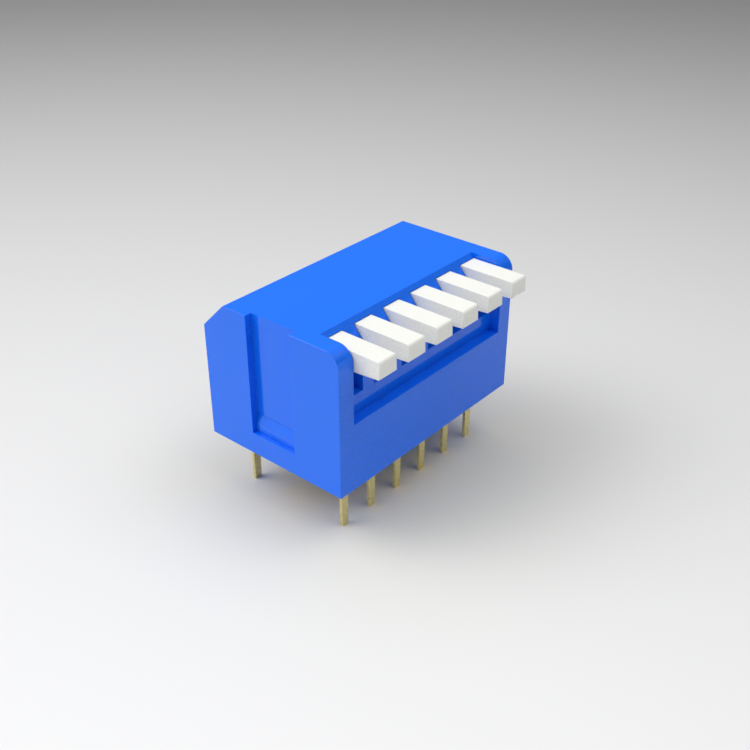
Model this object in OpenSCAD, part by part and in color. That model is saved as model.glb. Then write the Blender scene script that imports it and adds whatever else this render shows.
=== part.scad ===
// Piano-key DIP switch. A deep cover holds a row of hinged keys over a base with two rows of
// flat terminals. Pressing a key down swings its foot back, and the contact spring on the foot
// then bridges the front and the rear terminal of that way. Millimetres. X runs along the row of
// keys, the keys point to -Y, and Z = 0 is the face that sits on the board.

/* [Row] */
// Number of keys
ways = 6; // [2:1:12]
// Spacing of the keys, and of the terminals in a row
pitch = 2.54; // [2.4:0.02:3.2]
// Distance between the two rows of terminals
row_spacing = 7.62; // [7:0.02:8]

/* [Cover] */
// Width of the cover from its front face to its back face
body_w = 10.84; // [10.6:0.02:13.2]
// Height of the cover above the board
body_h = 9.54; // [8:0.02:12]
// Thickness of the two end walls
end_wall = 1.2; // [1.1:0.05:2]
// Size of the sloped corner along the top back edge
back_chamfer = 1.82; // [0.5:0.02:2.2]
// Radius of the top front corner of the end walls
corner_r = 1; // [0.3:0.05:2]
// Small flat along the outer edges
edge_break = 0.02; // [0.01:0.01:0.1]
// Thickness of the roof
roof_t = 0.8; // [0.5:0.05:1.2]
// Thickness of the back wall
back_wall = 0.9; // [0.6:0.05:1.2]
// Thickness of the front wall above the ledge
upper_wall = 0.75; // [0.5:0.05:1.2]
// Gap between the cover and the base
fit_gap = 0.02; // [0.01:0.005:0.05]

/* [Key opening] */
// Depth of the ledge below the keys
ledge_d = 0.69; // [0.4:0.01:1.2]
// Height of the wall between the ledge and the sill of the key slots
ledge_drop = 1.32; // [0.5:0.02:1.6]
// Distance from the front face back to where the roof starts to slope
brow_set = 2.44; // [1.8:0.02:3]
// Angle of the slope under the brow
slope_angle = 49.7; // [40:0.1:60]

/* [Keys] */
// Width of a key at its underside
key_w = 1.52; // [1.2:0.02:1.9]
// Narrowing of a key towards its top, on each side
key_draft = 0.05; // [0:0.01:0.1]
// Thickness of a key at its nose
key_t = 1.05; // [0.8:0.01:1.2]
// Angle at which the underside falls towards the root
key_taper = 4.8; // [0:0.1:8]
// How far the nose stands out of the front face
key_reach = 1.79; // [1:0.01:3]
// Distance from the roof down to the top of the keys
key_drop = 0.32; // [0.2:0.01:0.8]
// Rounding of the nose along its top edge
nose_r = 0.2; // [0.05:0.01:0.4]
// Gap on each side of a key in its slot
key_gap = 0.03; // [0.02:0.005:0.06]
// Angle through which a key swings from off to on
travel = 25; // [15:1:27]
// Width of the lever inside the cover
web_w = 1.1; // [0.9:0.02:1.2]

/* [Pivot] */
// Distance from the top of the keys down to the pivot
pivot_drop = 3.02; // [2.8:0.02:3.4]
// Radius of the trunnions
trunnion_r = 0.6; // [0.4:0.02:0.8]
// Radial clearance of the trunnions
trunnion_gap = 0.03; // [0.01:0.005:0.08]
// Length of the two trunnions together, from end to end
trunnion_l = 2.2; // [2:0.02:2.3]
// Radius of the hub
hub_r = 1; // [0.85:0.05:1.2]
// Half the depth of the bearing posts
post_half = 1.1; // [0.9:0.05:1.3]

/* [Contacts] */
// Distance from the pivot down to the deck of the base
deck_drop = 3.2; // [3:0.02:3.3]
// Radius of the contact pads about the pivot
pad_r = 3.55; // [3.4:0.01:3.7]
// Thickness of the contact spring
leaf_t = 0.12; // [0.08:0.01:0.16]
// Height of the contact bumps
bump_r = 0.3; // [0.22:0.01:0.36]
// Gap between the bumps and the pads
bump_gap = 0.03; // [0.01:0.005:0.05]
// Half the depth of a foot
foot_half = 0.7; // [0.5:0.02:0.8]

/* [Terminals] */
// Width of a terminal
pin_w = 0.64; // [0.4:0.02:0.8]
// Width of a terminal at its tip
pin_tip_w = 0.52; // [0.3:0.02:0.7]
// Thickness of the terminal strip
pin_t = 0.2; // [0.12:0.01:0.26]
// Length of the terminals below the board face
pin_l = 3.9; // [2.5:0.05:5]
// Width of the contact pads
pad_w = 1.1; // [0.8:0.02:1.2]

/* [End latch] */
// Width of the recess in the end wall beside key 1
recess_w = 3.5; // [2.6:0.05:5]
// Depth of the recess
recess_d = 0.5; // [0.3:0.02:0.6]
// Height of the sill at the bottom of the recess
recess_sill = 1.51; // [1:0.01:2]
// How far the latch stands out of the floor of the recess
latch_out = 0.2; // [0.1:0.01:0.3]
// Height of the upright face of the latch
latch_face = 0.6; // [0.3:0.02:0.8]
// Height of the whole latch
latch_h = 1.2; // [0.9:0.02:1.3]

/* [Hidden] */
$fn = 96;
eps = 0.5;
half_w = body_w / 2;
row_half = row_spacing / 2;
last_key = (ways - 1) * pitch / 2;

// Heights, measured down from the roof
key_top = body_h - key_drop;
pivot_z = key_top - pivot_drop;
deck_z = pivot_z - deck_drop;
roof_z = body_h - roof_t;

// Lengths along the row
slot_w = key_w + 2 * key_gap;
inner_x = last_key + slot_w / 2;
outer_x = inner_x + end_wall;
recess_x = outer_x - recess_d;
post_gap = 0.1;
bay_w = web_w + 2 * post_gap;
post_t = pitch - bay_w;
rib_t = pitch - slot_w;
trunnion_end = 0.04;
groove_x = last_key + trunnion_l / 2 + trunnion_end;

// Front of the cover: a ledge, an upright wall and the slope below the brow
wall_y = -half_w + ledge_d;
brow_y = -half_w + brow_set;
slope_foot = body_h - (brow_y - wall_y) * tan(slope_angle);
upper_y = wall_y + upper_wall;
base_margin = 0.61;
inner_y = row_half + base_margin;
rib_back = 1.4;
split_gap = 0.02;
into_slope = [sin(slope_angle), -cos(slope_angle)];
up_slope = [cos(slope_angle), sin(slope_angle)];

// Key outline: the nose, the edge where the top meets the slope, and the underside
nose_y = -half_w - key_reach;
key_back = [brow_y - key_drop / tan(slope_angle), key_top];
heel_l = 0.85;
root_l = 0.8;
key_heel = key_back + heel_l * into_slope;
function underside(y) = key_top - key_t - (y - nose_y) * tan(key_taper);

// The sill of the slots lies just under the underside of a pressed key
press_gap = 0.05;
swing = travel - key_taper;
nose_low = [nose_y, key_top - key_t - pivot_z];
pressed = [
    nose_low[0] * cos(travel) - nose_low[1] * sin(travel),
    nose_low[0] * sin(travel) + nose_low[1] * cos(travel)
];
sill_z = pivot_z + pressed[1] + (wall_y - pressed[0]) * tan(swing) - press_gap;
ledge_z = sill_z - ledge_drop;

// Foot and contacts, as angles from straight down, positive towards the back
foot_lean = -travel / 2;
sole_r = pad_r - bump_gap - bump_r - leaf_t;
bump_angle = 8;
front_pad_end = 7;
rear_pad_start = 15;
pad_rise = acos((deck_drop - pin_t) / pad_r);
pad_edge = pad_r * sin(pad_rise);
bearing_r = trunnion_r + trunnion_gap;
bend_r = 0.1;
leaf_h = 1;
slit_w = 0.2;
leaf_margin = 0.05;
tip_blunt = 0.04;
slot_reach = 2;

function key_x(i) = (i - 1) * pitch - last_key;

// Stretches an outline drawn in Y and Z along X
module across(w) rotate([90, 0, 90]) linear_extrude(w, center = true) children();

// Stretches an outline drawn in X and Z along Y
module through(d) rotate([90, 0, 0]) linear_extrude(d, center = true) children();

// A block given by its lowest and highest corners
module block(low, high) translate(low) cube(high - low);

// A round bar along X on the pivot axis
module pivot_bar(r, w) translate([0, 0, pivot_z]) rotate([0, 90, 0]) cylinder(r = r, h = w, center = true);

// What lies outside a round corner that points to -X and +Y of its own plane
module corner_waste(r) {
    difference() {
        translate([-2 * r, 0]) square(2 * r);
        circle(r);
    }
}

// Part of a ring about the pivot, between two angles from straight down
module arc_band(r, t, from, to) {
    reach = 3 * r;
    translate([0, pivot_z]) intersection() {
        difference() {
            circle(r + t);
            circle(r);
        }
        polygon([
            [0, 0],
            reach * [sin(from), -cos(from)],
            reach * [sin(to), -cos(to)]
        ]);
    }
}

// ---- Cover ----

// Rectangle with small flats at its corners
module broken_rect(w, h) {
    b = edge_break;
    polygon([
        [-w + b, 0], [w - b, 0], [w, b], [w, h - b],
        [w - b, h], [-w + b, h], [-w, h - b], [-w, b]
    ]);
}

module cover_outline() {
    b = edge_break;
    difference() {
        polygon([
            [-half_w + b, 0], [half_w - b, 0], [half_w, b],
            [half_w, body_h - back_chamfer], [half_w - back_chamfer, body_h],
            [-half_w, body_h], [-half_w, b]
        ]);
        translate([-half_w + corner_r, body_h - corner_r]) corner_waste(corner_r);
    }
}

module cover_block() {
    intersection() {
        across(2 * outer_x) cover_outline();
        through(body_w + eps) broken_rect(outer_x, body_h);
        translate([0, -half_w, -eps]) linear_extrude(body_h + 2 * eps) broken_rect(outer_x, body_w);
    }
}

// Space in front of the keys: over the ledge, along the wall and up the slope
module key_opening() {
    front = -half_w - eps;
    across(2 * inner_x) polygon([
        [front, ledge_z], [wall_y, ledge_z], [wall_y, slope_foot],
        [brow_y, body_h], [brow_y, body_h + eps], [front, body_h + eps]
    ]);
}

module cavity() {
    step_z = deck_z + fit_gap;
    inner = [brow_y, body_h] + roof_t * into_slope;
    inner_low = inner[1] - (inner[0] - upper_y) * tan(slope_angle);
    inner_top = inner[0] - (inner[1] - roof_z) / tan(slope_angle);
    back_y = half_w - back_wall;
    slant = half_w + body_h - back_chamfer - back_wall * sqrt(2);
    across(2 * inner_x) polygon([
        [-inner_y, -eps], [-inner_y, step_z], [upper_y, step_z], [upper_y, inner_low],
        [inner_top, roof_z], [slant - roof_z, roof_z], [back_y, slant - back_y], [back_y, -eps]
    ]);
}

// Walls between the keys, which carry the upper half of the bearings
module ribs() {
    for (i = [1 : ways - 1]) {
        x = key_x(i) + pitch / 2;
        block([x - rib_t / 2, -half_w, pivot_z + split_gap], [x + rib_t / 2, rib_back, body_h]);
    }
}

// Slot in which one key swings
module key_slot() {
    top = key_back + key_gap * up_slope;
    inside = top + (roof_t + eps) * into_slope;
    outside = top - slot_reach * into_slope;
    front = min(outside[0], -half_w - eps);
    across(slot_w) polygon([
        outside, inside, [inside[0], sill_z], [front, sill_z], [front, outside[1]]
    ]);
}

// Recess in an end wall, with the window for the latch and the way in for it below
module end_recess() {
    half = recess_w / 2;
    window = recess_sill + latch_h + fit_gap;
    block([recess_x, -half, recess_sill], [outer_x + eps, half, body_h + eps]);
    block([inner_x - eps, -half, recess_sill], [outer_x + eps, half, window]);
    block([inner_x - eps, -half, -eps], [recess_x, half, recess_sill + fit_gap]);
}

// Groove in one end wall for the end post of the base
module post_groove() {
    half = post_half + fit_gap;
    block([inner_x - eps, -half, -eps], [groove_x, half, pivot_z + split_gap]);
}

module cover() {
    color("royalblue") difference() {
        cover_block();
        key_opening();
        difference() {
            cavity();
            ribs();
        }
        for (i = [1 : ways]) translate([key_x(i), 0, 0]) key_slot();
        mirror([1, 0, 0]) end_recess();
        for (side = [0, 1]) mirror([side, 0, 0]) post_groove();
        pivot_bar(bearing_r, 2 * groove_x);
    }
}

// ---- Base ----

// Latch on the end of the base: an upright face with a slope above it
module latch() {
    foot = recess_x - fit_gap;
    face = recess_x + latch_out;
    low = recess_sill + fit_gap;
    top = recess_sill + latch_h;
    half = recess_w / 2 - fit_gap;
    block([last_key + bay_w / 2, -half, 0], [foot, half, top]);
    through(2 * half) polygon([
        [inner_x, low], [face, low], [face, recess_sill + latch_face], [recess_x, top], [inner_x, top]
    ]);
}

// Posts that carry the lower half of the bearings. They start inside the block of the base
module posts() {
    top = pivot_z - split_gap;
    low = deck_z / 2;
    for (i = [1 : ways - 1]) {
        x = key_x(i) + pitch / 2;
        block([x - post_t / 2, -post_half, low], [x + post_t / 2, post_half, top]);
    }
    for (side = [0, 1]) mirror([side, 0, 0]) {
        block([last_key + bay_w / 2, -post_half, low], [groove_x - fit_gap, post_half, top]);
    }
}

module base() {
    color("royalblue") difference() {
        union() {
            difference() {
                block(
                    [-inner_x + fit_gap, -inner_y + fit_gap, 0],
                    [inner_x - fit_gap, half_w - back_wall - fit_gap, deck_z]
                );
                for (i = [1 : ways]) translate([key_x(i), 0, 0]) pivot_bar(pad_r + pin_t, bay_w);
            }
            mirror([1, 0, 0]) latch();
            posts();
        }
        for (i = [1 : ways], side = [0, 1]) translate([key_x(i), 0, 0]) mirror([0, side, 0]) stem();
        pivot_bar(bearing_r, 2 * groove_x);
    }
}

// ---- Terminals ----

// Outline of the leg, with a slightly tapered, blunted tip
module leg_outline() {
    b = tip_blunt;
    half = pin_w / 2;
    tip = pin_tip_w / 2;
    top = deck_z - bend_r;
    polygon([
        [-half, top], [half, top], [half, 0], [tip, b - pin_l],
        [tip - b, -pin_l], [b - tip, -pin_l], [-tip, b - pin_l], [-half, 0]
    ]);
}

// Leg of a front terminal and the bend at its top
module stem() {
    outer_r = bend_r + pin_t;
    translate([0, -row_half, 0]) through(pin_t) leg_outline();
    translate([0, -row_half + pin_t / 2 + bend_r, deck_z - bend_r]) across(pin_w) intersection() {
        difference() {
            circle(outer_r);
            circle(bend_r);
        }
        translate([-2 * outer_r, 0]) square(2 * outer_r);
    }
}

// Strip that lies on the deck and runs down into the trough as a pad
module strip(from, to) {
    neck = -row_half + pin_t / 2 + bend_r;
    block([-pin_w / 2, neck, deck_z], [pin_w / 2, -pad_edge, deck_z + pin_t]);
    block([-pad_w / 2, neck + pin_t, deck_z], [pad_w / 2, -pad_edge, deck_z + pin_t]);
    across(pad_w) arc_band(pad_r, pin_t, from, to);
}

module front_terminal(i) {
    color("goldenrod") translate([key_x(i), 0, 0]) {
        stem();
        strip(-pad_rise, front_pad_end);
    }
}

module rear_terminal(i) {
    color("goldenrod") translate([key_x(i), 0, 0]) mirror([0, 1, 0]) {
        stem();
        strip(-pad_rise, -rear_pad_start);
    }
}

// ---- Keys ----

module bar_outline() {
    difference() {
        polygon([
            [nose_y, key_top], [nose_y, key_top - key_t],
            [key_heel[0], underside(key_heel[0])], key_heel, key_back
        ]);
        translate([nose_y + nose_r, key_top - nose_r]) corner_waste(nose_r);
    }
}

// Cross-section of the bar, a little narrower at its top
module bar_section() {
    low = key_top - key_t;
    bottom = pivot_z;
    half = key_w / 2;
    polygon([
        [-half + key_draft, key_top], [half - key_draft, key_top],
        [half, low], [half, bottom], [-half, bottom], [-half, low]
    ]);
}

// Lever from the bar to the hub
module lever_outline() {
    root_y = key_heel[0] - root_l;
    polygon([
        [root_y, underside(root_y)], [-hub_r, pivot_z], [0, pivot_z],
        [0, pivot_z + hub_r], key_heel
    ]);
    translate([0, pivot_z]) circle(hub_r);
}

// Moves an outline drawn about the pivot to where the foot of a raised key stands
module at_foot() translate([0, pivot_z]) rotate(foot_lean) children();

// Foot of a key, upright below the pivot
module foot_outline() {
    intersection() {
        translate([-foot_half, -sole_r - eps]) square([2 * foot_half, sole_r + eps]);
        circle(sole_r);
    }
}

module key(i) {
    color("white") translate([key_x(i), 0, 0]) {
        intersection() {
            across(key_w + eps) bar_outline();
            through(2 * (eps - nose_y)) bar_section();
        }
        across(web_w) {
            lever_outline();
            at_foot() foot_outline();
        }
        pivot_bar(trunnion_r, trunnion_l);
    }
}

// ---- Contact springs ----

// Spring that wraps the sole of a foot, with two hollow bumps that reach the pads
module leaf_outline() {
    wrap = foot_half + leaf_t;
    leaf_r = sole_r + leaf_t;
    difference() {
        union() {
            intersection() {
                circle(leaf_r);
                translate([-wrap, -leaf_r - eps]) square([2 * wrap, leaf_h + eps]);
            }
            for (a = [-bump_angle, bump_angle]) rotate(a) translate([0, -leaf_r]) circle(bump_r);
        }
        for (a = [-bump_angle, bump_angle]) rotate(a) translate([0, -leaf_r]) circle(bump_r - leaf_t);
        foot_outline();
    }
}

module contact(i) {
    leaf_w = web_w - 2 * leaf_margin;
    slit_h = pad_r - sole_r + leaf_t;
    color("goldenrod") translate([key_x(i), 0, 0]) difference() {
        across(leaf_w) at_foot() leaf_outline();
        // A slit splits the sole into two fingers
        across(slit_w) at_foot() translate([-foot_half, -pad_r]) square([2 * foot_half, slit_h]);
    }
}

cover();
base();
for (i = [1 : ways]) {
    key(i);
    contact(i);
    front_terminal(i);
    rear_terminal(i);
}
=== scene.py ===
"""Finishes the moulded and stamped parts of a piano-key DIP switch and sets up its studio."""

import math

import bpy
from bpy.props import FloatProperty, FloatVectorProperty, PointerProperty
from bpy.types import Operator, Panel, PropertyGroup
from mathutils import Matrix, Vector


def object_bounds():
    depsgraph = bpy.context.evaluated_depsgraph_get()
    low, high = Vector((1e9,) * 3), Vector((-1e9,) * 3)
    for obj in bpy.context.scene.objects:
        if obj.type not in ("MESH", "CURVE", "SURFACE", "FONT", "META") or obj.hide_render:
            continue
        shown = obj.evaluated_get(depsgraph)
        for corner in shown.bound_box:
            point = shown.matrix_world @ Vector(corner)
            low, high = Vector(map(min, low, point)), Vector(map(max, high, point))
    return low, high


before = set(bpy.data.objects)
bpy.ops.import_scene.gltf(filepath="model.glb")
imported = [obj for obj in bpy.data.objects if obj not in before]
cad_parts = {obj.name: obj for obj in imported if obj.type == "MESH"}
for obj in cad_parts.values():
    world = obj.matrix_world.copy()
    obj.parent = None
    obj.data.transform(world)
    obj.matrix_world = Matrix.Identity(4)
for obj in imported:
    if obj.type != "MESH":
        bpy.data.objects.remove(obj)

bl_info = {
    "name": "Piano-Key DIP Switch",
    "version": (1, 0, 0),
    "blender": (4, 5, 0),
    "location": "3D Viewport > Sidebar > DIP Switch",
    "description": "Finishes the parts of a piano-key DIP switch and lights them in a small studio",
    "category": "Object",
}

MM = 0.001
ALONG_ROW = (1.0, 0.0, 0.0)
ACROSS_ROW = (0.0, 1.0, 0.0)
CAD_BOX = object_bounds()


# ---- Settings ----


def colour(name, description, default):
    """A colour that the user can change, in linear light."""
    return FloatVectorProperty(
        name=name, description=description, default=default, subtype="COLOR", size=3, min=0, max=1
    )


def length(name, description, default):
    """A length that the user can change, in metres."""
    return FloatProperty(
        name=name, description=description, default=default, unit="LENGTH", min=0, precision=6
    )


def share(name, description, default):
    """A number from 0 to 1 that the user can change."""
    return FloatProperty(
        name=name, description=description, default=default, subtype="FACTOR", min=0, max=1
    )


def amount(name, description, default, limit=10):
    """A plain number that the user can change."""
    return FloatProperty(name=name, description=description, default=default, min=0, soft_max=limit)


def place(name, description, default):
    """A place that the user can change, in metres."""
    return FloatVectorProperty(
        name=name, description=description, default=default, subtype="XYZ", unit="LENGTH", precision=6
    )


def angle(name, description, degrees):
    """An angle that the user can change, given in degrees."""
    return FloatProperty(
        name=name, description=description, default=math.radians(degrees), subtype="ANGLE"
    )


class HousingFinish(PropertyGroup):
    """The blue plastic of the cover and the base."""

    pigment: colour("Pigment", "Colour of the plastic", (0.003, 0.169, 0.99))
    streaks: colour("Streaks", "Colour where the pigment flowed thick", (0.003, 0.163, 0.97))
    streak_size: length("Streak size", "Width of the flow streaks", 2.4 * MM)
    polish: share("Roughness", "Roughness of the polished faces", 0.02)
    grain_size: length("Grain size", "Size of the fine surface grain", 0.1 * MM)
    grain_height: length("Grain height", "Height of the fine surface grain", 0.004 * MM)
    speck_depth: share("Speck depth", "How much darker the hollows of the grain are", 0.22)
    smooth_share: share("Smooth faces", "Share of the grain that is left on the polished faces", 0.04)
    edge_radius: length("Edge radius", "Softness of the moulded edges", 0.02 * MM)
    translucence: share("Translucence", "How much light passes through the plastic", 0)


class KeyFinish(PropertyGroup):
    """The white plastic of the keys."""

    pigment: colour("Pigment", "Colour of the plastic", (0.885, 0.885, 0.845))
    streaks: colour("Streaks", "Colour where the pigment flowed thick", (0.865, 0.865, 0.815))
    streak_size: length("Streak size", "Width of the flow streaks", 1.2 * MM)
    polish: share("Roughness", "Roughness of the moulded faces", 0.28)
    grain_size: length("Grain size", "Size of the fine surface grain", 0.075 * MM)
    grain_height: length("Grain height", "Height of the fine surface grain", 0.004 * MM)
    speck_depth: share("Speck depth", "How much darker the hollows of the grain are", 0.15)
    smooth_share: share("Smooth faces", "Share of the grain that is left on the smooth faces", 0.15)
    edge_radius: length("Edge radius", "Softness of the moulded edges", 0.03 * MM)
    translucence: share("Translucence", "How much light passes through the plastic", 0.3)


class TerminalFinish(PropertyGroup):
    """The plated strip of the terminals."""

    plating: colour("Plating", "Colour of the plating", (0.88, 0.76, 0.34))
    tarnish: colour("Tarnish", "Colour of the dull patches", (0.72, 0.60, 0.26))
    roughness: share("Roughness", "Roughness of the rolled strip", 0.26)
    line_size: length("Rolling lines", "Spacing of the rolling lines", 0.05 * MM)
    line_height: length("Line depth", "Depth of the rolling lines", 0.0015 * MM)
    edge_radius: length("Edge radius", "Softness of the stamped edges", 0.02 * MM)


class SpringFinish(PropertyGroup):
    """The spring strip of the contacts."""

    plating: colour("Plating", "Colour of the spring strip", (0.80, 0.58, 0.28))
    tarnish: colour("Tarnish", "Colour of the dull patches", (0.62, 0.40, 0.20))
    roughness: share("Roughness", "Roughness of the spring strip", 0.28)
    line_size: length("Rolling lines", "Spacing of the rolling lines", 0.04 * MM)
    line_height: length("Line depth", "Depth of the rolling lines", 0.001 * MM)
    edge_radius: length("Edge radius", "Softness of the stamped edges", 0.015 * MM)


class StudioSettings(PropertyGroup):
    """The floor, the light and the camera."""

    # floor_bright, floor_dim, and the centre and reach below paint a pool of light on the floor: its
    # colour is brightest at the centre and dims far away.
    floor_bright: colour("Bright floor", "Colour of the floor at its brightest", (0.85, 0.85, 0.85))
    floor_dim: colour("Dim floor", "Colour of the floor far away", (0.134, 0.134, 0.134))
    painted_light_reach: length("Floor reach", "Distance over which the floor darkens", 150 * MM)
    painted_light_centre: place("Floor centre", "Where the floor is brightest", (-70 * MM, -18 * MM, 0))
    # Painted counter-tint: near the switch the floor's colour is less blue, against the blue light that
    # the plastic throws on it. The camera and reflections see it, and the light that the floor throws
    # back doesn't carry it.
    painted_bounce_tint: colour("Warmth", "Tint of the floor near the switch", (1.0, 0.975, 0.83))
    painted_bounce_tint_reach: length("Warmth reach", "Distance over which this tint fades", 13.6 * MM)
    # Painted light: under the switch the floor is lighter and far less blue, which lightens the switch's
    # shadow and takes out the blue light that the plastic throws into it.
    painted_shadow_fill: colour("Floor in the shade", "Colour of the floor under the switch", (0.95, 0.74, 0.30))
    painted_shadow_fill_size: place("Shade size", "Reach of this colour on each axis", (6.8 * MM, 4.15 * MM, 1))
    floor_size: length("Floor size", "Side of the floor", 2)
    even_light: share("Even light", "Brightness of the sky between the soft lights", 0.217)
    main_light: amount("Main light", "Brightness of the main light", 6.75)
    main_azimuth: angle("Main azimuth", "Direction of the main light, seen from above", -136)
    main_height: angle("Main elevation", "Height of the main light over the horizon", 45)
    side_light: amount("Side light", "Brightness of the side light", 4.13)
    side_azimuth: angle("Side azimuth", "Direction of the side light, seen from above", 30)
    side_height: angle("Side elevation", "Height of the side light over the horizon", 65)
    back_light: amount("Back light", "Brightness of the back light", 1.23)
    back_azimuth: angle("Back azimuth", "Direction of the back light, seen from above", 148)
    back_height: angle("Back elevation", "Height of the back light over the horizon", 60)
    softness: angle("Softness", "Angle over which each light fades", 22)
    view_azimuth: angle("Camera azimuth", "0 looks along +Y", -49.8)
    view_height: angle("Camera elevation", "Height of the camera over the horizon", 31.06)
    view_distance: length("Camera distance", "Distance from the aim point", 66.67 * MM)
    lens: amount("Focal length", "Focal length in millimetres on a 36 mm sensor", 49.82, 200)
    aim: place("Aim", "Aim point, counted from the board seat", (0.105 * MM, -0.839 * MM, 2.735 * MM))


class SwitchSettings(PropertyGroup):
    """Everything that a user of the switch would change."""

    housing: PointerProperty(type=HousingFinish)
    keys: PointerProperty(type=KeyFinish)
    terminals: PointerProperty(type=TerminalFinish)
    springs: PointerProperty(type=SpringFinish)
    studio: PointerProperty(type=StudioSettings)


# ---- Shader expressions ----

NODE_SPACING = 180
BEVEL_SAMPLES = 6


class Value:
    """A socket that stands in a Python expression. Each operator adds its Math node."""

    def __init__(self, surface, socket):
        self.surface = surface
        self.socket = socket

    def __add__(self, other):
        return self.surface.maths("ADD", self, other)

    def __radd__(self, other):
        return self.surface.maths("ADD", other, self)

    def __sub__(self, other):
        return self.surface.maths("SUBTRACT", self, other)

    def __rsub__(self, other):
        return self.surface.maths("SUBTRACT", other, self)

    def __mul__(self, other):
        return self.surface.maths("MULTIPLY", self, other)

    def __rmul__(self, other):
        return self.surface.maths("MULTIPLY", other, self)

    def __truediv__(self, other):
        return self.surface.maths("DIVIDE", self, other)

    def __rtruediv__(self, other):
        return self.surface.maths("DIVIDE", other, self)


class Surface:
    """The nodes of one material or world, written as expressions."""

    def __init__(self, owner):
        owner.use_nodes = True
        self.tree = owner.node_tree
        self.tree.nodes.clear()

    def node(self, kind, settings=None, sockets=None, output=0):
        """Adds a node: its settings first, then the values or links of its sockets."""
        made = self.tree.nodes.new(kind)
        made.location.x = NODE_SPACING * len(self.tree.nodes)
        for name, value in (settings or {}).items():
            setattr(made, name, value)
        for name, value in (sockets or {}).items():
            if isinstance(value, Value):
                self.tree.links.new(value.socket, made.inputs[name])
            else:
                made.inputs[name].default_value = value
        return Value(self, made.outputs[output]) if made.outputs else None

    def maths(self, operation, *values, clamp=False):
        """The result of one Math node."""
        settings = {"operation": operation, "use_clamp": clamp}
        return self.node("ShaderNodeMath", settings, dict(enumerate(values)))

    def clamped(self, value):
        """The value, kept between 0 and 1."""
        return self.maths("ADD", value, 0, clamp=True)

    def vectors(self, operation, first, second, output="Vector"):
        """The result of one Vector Math node."""
        return self.node("ShaderNodeVectorMath", {"operation": operation}, {0: first, 1: second}, output)

    def mix(self, part, first, second):
        """The first colour where part is 0, and the second where it is 1."""
        sockets = {0: part, 6: first, 7: second}
        return self.node("ShaderNodeMix", {"data_type": "RGBA"}, sockets, output=2)

    def position(self):
        """Where a point lies on the piece, in metres."""
        return self.node("ShaderNodeTexCoord", output="Object")

    def noise(self, where, size, detail=3.0, rough=0.5):
        """Soft noise from 0 to 1, with lumps of the given size."""
        sockets = {"Vector": where, "Scale": 1 / size, "Detail": detail, "Roughness": rough}
        return self.node("ShaderNodeTexNoise", sockets=sockets)

    def soft_edge(self, radius):
        """The normal with its sharp edges rounded, and how far it was turned: 0 on a flat face."""
        rounded = self.node("ShaderNodeBevel", {"samples": BEVEL_SAMPLES}, {"Radius": radius})
        true = self.node("ShaderNodeNewGeometry", output="Normal")
        return rounded, self.clamped(1 - self.vectors("DOT_PRODUCT", rounded, true, "Value"))

    def relief(self, height, depth, normal):
        """A normal with relief: height runs from 0 to 1 over the given depth in metres."""
        sockets = {"Strength": 1.0, "Distance": depth, "Height": height, "Normal": normal}
        return self.node("ShaderNodeBump", sockets=sockets)

    def finish(self, shader):
        """Closes the material with its shader."""
        self.node("ShaderNodeOutputMaterial", sockets={"Surface": shader})


def paint(names, material):
    """Puts the material on the named nodes of the frame."""
    for name in names:
        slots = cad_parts[name].data.materials
        slots.clear()
        slots.append(material)


def numbered(prefix):
    """The names of the nodes in a row, such as key_1 to key_6."""
    return sorted(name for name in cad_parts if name.startswith(prefix + "_"))


def opaque(tint):
    """A tint as a full colour."""
    return (*tint, 1.0)


# ---- Materials ----

# Moulded plastic. A gain is how fast a change comes in, and a roughness is what it adds.
PLASTIC_IOR = 1.46
LIGHT_DEPTH = 0.3 * MM  # how far light travels under the surface
FLOW_SHAPE = (0.45, 1.0, 1.0)  # the streaks run about twice as long along the row
MATT_GAIN = 4  # faces within 60 degrees of the matt axis are fully matt
MATT_ROUGHNESS = 0.04
STREAK_ROUGHNESS = 0.02
EDGE_GAIN = 8
EDGE_ROUGHNESS = 0.4
SPECK_GAIN = 3
SPECK_SHARE = 0.3  # how much of the speck colour a matt face takes between its specks

# Plated strip
ROLLED_SHAPE = (1.0, 1.0, 0.06)  # the rolling lines run up the strip
LINE_ROUGHNESS = 0.15
PATCH_RATIO = 14  # width of a dull patch, counted in rolling lines
PATCH_START = 0.42  # noise level at which a patch begins
PATCH_GAIN = 2.2
PATCH_SHARE = 0.6  # how dull the dullest patch is
PATCH_ROUGHNESS = 0.12
# Painted highlight: the stamped edges take a brighter colour than the plating, in place of the shine
# they catch.
PAINTED_HIGHLIGHT_GAIN = 2
PAINTED_HIGHLIGHT_SHINE = 1.25  # how much brighter the painted highlight on a stamped edge is than the plating
STRIP_METALLIC = 0.75

# Studio floor
FLOOR_ROUGHNESS = 0.9
FLOOR_SPECULAR = 0.1


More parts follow.
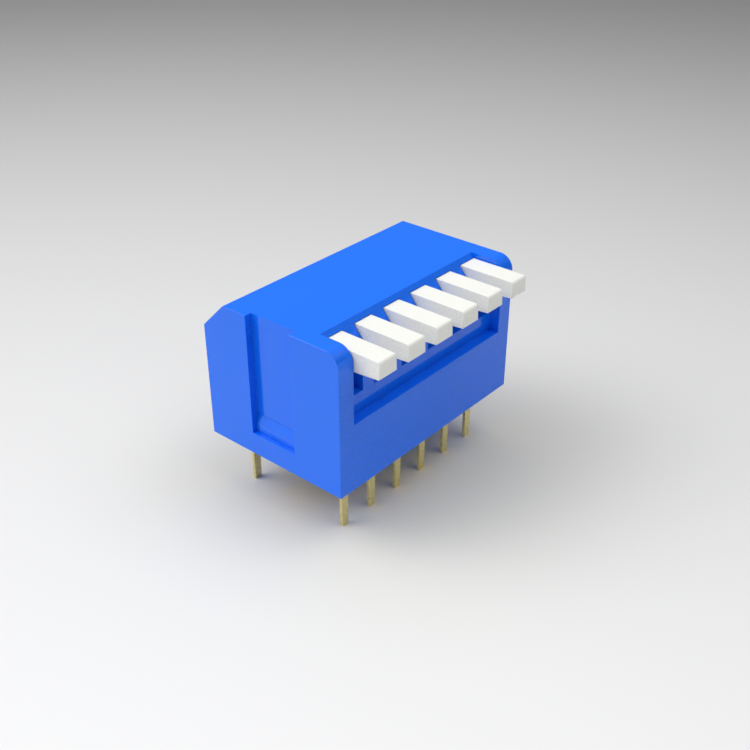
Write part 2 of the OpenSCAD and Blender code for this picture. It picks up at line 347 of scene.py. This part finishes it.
def moulded_plastic(name, finish, matt_axis):
    """Pigmented plastic with faint flow streaks. The faces that look along the matt axis have a
    fine matt grain, and the others keep a share of it."""
    material = bpy.data.materials.new(name)
    s = Surface(material)
    where = s.position()
    streaks = s.noise(s.vectors("MULTIPLY", where, FLOW_SHAPE), finish.streak_size)
    facing = s.node("ShaderNodeTexCoord", output="Normal")
    across = s.vectors("DOT_PRODUCT", facing, matt_axis, "Value")
    matt = s.clamped(across * across * MATT_GAIN) * (1 - finish.smooth_share) + finish.smooth_share
    grain = (s.noise(where, finish.grain_size, detail=2.0) - 0.5) * matt
    rounded, turned = s.soft_edge(finish.edge_radius)
    pigment = s.mix(streaks, opaque(finish.pigment), opaque(finish.streaks))
    speck = [(1 - finish.speck_depth) * part for part in finish.pigment]
    dulled = matt * MATT_ROUGHNESS + (streaks - 0.5) * STREAK_ROUGHNESS
    worn = s.clamped(turned * EDGE_GAIN) * EDGE_ROUGHNESS
    s.finish(s.node("ShaderNodeBsdfPrincipled", sockets={
        "Base Color": s.mix(s.clamped(grain * SPECK_GAIN + matt * SPECK_SHARE), pigment, opaque(speck)),
        "Roughness": s.clamped(finish.polish + dulled + worn),
        "IOR": PLASTIC_IOR,
        "Subsurface Weight": finish.translucence,
        "Subsurface Radius": (1.0, 1.0, 1.0),
        "Subsurface Scale": LIGHT_DEPTH,
        "Normal": s.relief(grain, finish.grain_height, rounded),
    }))
    return material


def rolled_strip(name, finish):
    """Plated strip: rolling lines along the strip, dull patches, and a painted highlight along the
    stamped edges.
    """
    material = bpy.data.materials.new(name)
    s = Surface(material)
    where = s.position()
    lines = s.noise(s.vectors("MULTIPLY", where, ROLLED_SHAPE), finish.line_size, rough=0.6)
    patches = s.noise(where, finish.line_size * PATCH_RATIO)
    rounded, turned = s.soft_edge(finish.edge_radius)
    dull = s.clamped((patches - PATCH_START) * PATCH_GAIN) * PATCH_SHARE
    plating = s.mix(dull, opaque(finish.plating), opaque(finish.tarnish))
    # Painted highlight: a brighter plating colour along the stamped edges.
    bright = [min(1.0, PAINTED_HIGHLIGHT_SHINE * part) for part in finish.plating]
    uneven = (lines - 0.5) * LINE_ROUGHNESS + dull * PATCH_ROUGHNESS
    s.finish(s.node("ShaderNodeBsdfPrincipled", sockets={
        "Base Color": s.mix(s.clamped(turned * PAINTED_HIGHLIGHT_GAIN), plating, opaque(bright)),
        "Metallic": STRIP_METALLIC,
        "Roughness": s.clamped(finish.roughness + uneven),
        "Normal": s.relief(lines, finish.line_height, rounded),
    }))
    return material


def studio_floor(name, studio):
    """Matt floor with a painted pool of light: it darkens away from its brightest place, and is open to
    a view from below.
    A painted warm tint round the switch and a painted lighter, warmer colour under it keep its shadow
    grey and light under the shine of the blue plastic. Only the camera and reflections see them."""
    material = bpy.data.materials.new(name)
    s = Surface(material)

    def fade(centre, reach, power=2):
        """1 at the centre and 0 far away. A higher power keeps the middle flat."""
        offset = s.vectors("SUBTRACT", s.position(), centre)
        steps = s.vectors("LENGTH", s.vectors("DIVIDE", offset, reach), (0.0, 0.0, 0.0), "Value")
        return s.maths("EXPONENT", s.maths("POWER", steps, power) * -1)

    # Painted pool of light on the floor: 1 at its centre, fading to 0 far away.
    far = fade(studio.painted_light_centre, [studio.painted_light_reach] * 3)
    grey = s.mix(far, opaque(studio.floor_dim), opaque(studio.floor_bright))
    camera, glossy, through = [
        s.node("ShaderNodeLightPath", output=f"Is {kind} Ray")
        for kind in ("Camera", "Glossy", "Transmission")
    ]
    seen = s.clamped(camera + glossy + through)
    white = (1.0, 1.0, 1.0, 1.0)
    # Painted counter-tint near the switch and painted lighter, less blue colour in its shadow, seen only
    # by the camera and in reflections.
    near = fade((0.0, 0.0, 0.0), [studio.painted_bounce_tint_reach] * 3) * seen
    # Painted lightening of the switch's shadow: 1 under the middle of the switch, flat there and fading
    # out at the given size.
    under = fade((0.0, 0.0, 0.0), studio.painted_shadow_fill_size, power=4) * seen
    warm = s.vectors("MULTIPLY", grey, s.mix(near, white, opaque(studio.painted_bounce_tint)))
    matt = s.node("ShaderNodeBsdfPrincipled", sockets={
        "Base Color": s.mix(under, warm, opaque(studio.painted_shadow_fill)),
        "Roughness": FLOOR_ROUGHNESS,
        "Specular IOR Level": FLOOR_SPECULAR,
    })
    below = s.node("ShaderNodeNewGeometry", output="Backfacing")
    open_side = s.node("ShaderNodeBsdfTransparent")
    s.finish(s.node("ShaderNodeMixShader", sockets={0: below, 1: matt, 2: open_side}))
    return material


# ---- Studio ----

SENSOR_WIDTH = 36  # in millimetres, as the focal length is
NEAREST_SEEN = 1 * MM


def outward(azimuth, elevation):
    """Direction from the switch to a place round it. Azimuth 0 lies on -Y."""
    flat = math.cos(elevation)
    return Vector((math.sin(azimuth) * flat, -math.cos(azimuth) * flat, math.sin(elevation)))


def add_object(name, data, matrix):
    """Links a new object to the scene, at the place and turn of the matrix."""
    made = bpy.data.objects.new(name, data)
    bpy.context.scene.collection.objects.link(made)
    made.matrix_world = matrix
    return made


def build_floor(studio):
    """A square floor under the tips of the terminals."""
    half = studio.floor_size / 2
    mesh = bpy.data.meshes.new("floor")
    corners = [(-half, -half, 0), (half, -half, 0), (half, half, 0), (-half, half, 0)]
    mesh.from_pydata(corners, [], [range(4)])
    mesh.materials.append(studio_floor("studio_floor", studio))
    add_object("floor", mesh, Matrix.Translation((0, 0, CAD_BOX[0].z)))


def build_sky(studio):
    """An even sky with three large soft lights in it."""
    world = bpy.data.worlds.new("studio_sky")
    bpy.context.scene.world = world
    s = Surface(world)
    direction = s.node("ShaderNodeTexCoord", output="Generated")
    fade = 1 - math.cos(studio.softness)

    def soft_light(azimuth, height, brightness):
        """The brightness that one light adds to the sky in each direction."""
        toward = s.vectors("DOT_PRODUCT", direction, outward(azimuth, height), "Value")
        return s.maths("EXPONENT", (toward - 1) / fade) * brightness

    main = soft_light(studio.main_azimuth, studio.main_height, studio.main_light)
    side = soft_light(studio.side_azimuth, studio.side_height, studio.side_light)
    back = soft_light(studio.back_azimuth, studio.back_height, studio.back_light)
    light = s.node("ShaderNodeBackground", sockets={"Strength": studio.even_light + main + side + back})
    s.node("ShaderNodeOutputWorld", sockets={"Surface": light})


def build_camera(studio):
    """The camera, aimed close to the middle of the switch."""
    camera = bpy.data.cameras.new("camera")
    camera.lens = studio.lens
    camera.sensor_width = SENSOR_WIDTH
    camera.clip_start = NEAREST_SEEN
    direction = outward(studio.view_azimuth, studio.view_height)
    stand = Vector(studio.aim) + direction * studio.view_distance
    turn = (-direction).to_track_quat("-Z", "Y").to_matrix().to_4x4()
    bpy.context.scene.camera = add_object("camera", camera, Matrix.Translation(stand) @ turn)


# ---- Operators ----


class SWITCH_OT_housing(Operator):
    """Give the cover and the base their blue plastic"""

    bl_idname = "switch.housing"
    bl_label = "Finish the Housing"
    bl_options = {"REGISTER", "UNDO"}

    def execute(self, context):
        finish = context.scene.dip_switch.housing
        paint(["cover", "base"], moulded_plastic("blue_plastic", finish, matt_axis=ACROSS_ROW))
        return {"FINISHED"}


class SWITCH_OT_keys(Operator):
    """Give the keys their white plastic"""

    bl_idname = "switch.keys"
    bl_label = "Finish the Keys"
    bl_options = {"REGISTER", "UNDO"}

    def execute(self, context):
        finish = context.scene.dip_switch.keys
        paint(numbered("key"), moulded_plastic("white_plastic", finish, matt_axis=ALONG_ROW))
        return {"FINISHED"}


class SWITCH_OT_terminals(Operator):
    """Give the terminals their plated strip"""

    bl_idname = "switch.terminals"
    bl_label = "Finish the Terminals"
    bl_options = {"REGISTER", "UNDO"}

    def execute(self, context):
        finish = context.scene.dip_switch.terminals
        names = numbered("front_terminal") + numbered("rear_terminal")
        paint(names, rolled_strip("plated_strip", finish))
        return {"FINISHED"}


class SWITCH_OT_springs(Operator):
    """Give the contact springs their spring strip"""

    bl_idname = "switch.springs"
    bl_label = "Finish the Contact Springs"
    bl_options = {"REGISTER", "UNDO"}

    def execute(self, context):
        finish = context.scene.dip_switch.springs
        paint(numbered("contact"), rolled_strip("spring_strip", finish))
        return {"FINISHED"}


class SWITCH_OT_stage(Operator):
    """Build the floor, the light and the camera"""

    bl_idname = "switch.stage"
    bl_label = "Build the Studio"
    bl_options = {"REGISTER", "UNDO"}

    def execute(self, context):
        studio = context.scene.dip_switch.studio
        context.scene.view_settings.view_transform = "Standard"
        build_floor(studio)
        build_sky(studio)
        build_camera(studio)
        return {"FINISHED"}


class SWITCH_PT_panel(Panel):
    """The steps of the switch, with their settings"""

    bl_idname = "SWITCH_PT_panel"
    bl_label = "DIP Switch"
    bl_space_type = "VIEW_3D"
    bl_region_type = "UI"
    bl_category = "DIP Switch"

    def draw(self, context):
        settings = context.scene.dip_switch
        steps = {
            "switch.housing": settings.housing,
            "switch.keys": settings.keys,
            "switch.terminals": settings.terminals,
            "switch.springs": settings.springs,
            "switch.stage": settings.studio,
        }
        for step, group in steps.items():
            box = self.layout.box()
            box.operator(step)
            for name in group.__annotations__:
                box.prop(group, name)


CLASSES = (
    HousingFinish,
    KeyFinish,
    TerminalFinish,
    SpringFinish,
    StudioSettings,
    SwitchSettings,
    SWITCH_OT_housing,
    SWITCH_OT_keys,
    SWITCH_OT_terminals,
    SWITCH_OT_springs,
    SWITCH_OT_stage,
    SWITCH_PT_panel,
)


def register():
    for each in CLASSES:
        bpy.utils.register_class(each)
    bpy.types.Scene.dip_switch = PointerProperty(type=SwitchSettings)


def unregister():
    del bpy.types.Scene.dip_switch
    for each in reversed(CLASSES):
        bpy.utils.unregister_class(each)


def main():
    """Builds everything in order."""
    register()
    bpy.ops.switch.housing()
    bpy.ops.switch.keys()
    bpy.ops.switch.terminals()
    bpy.ops.switch.springs()
    bpy.ops.switch.stage()
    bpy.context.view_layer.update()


if __name__ == "__main__":
    main()
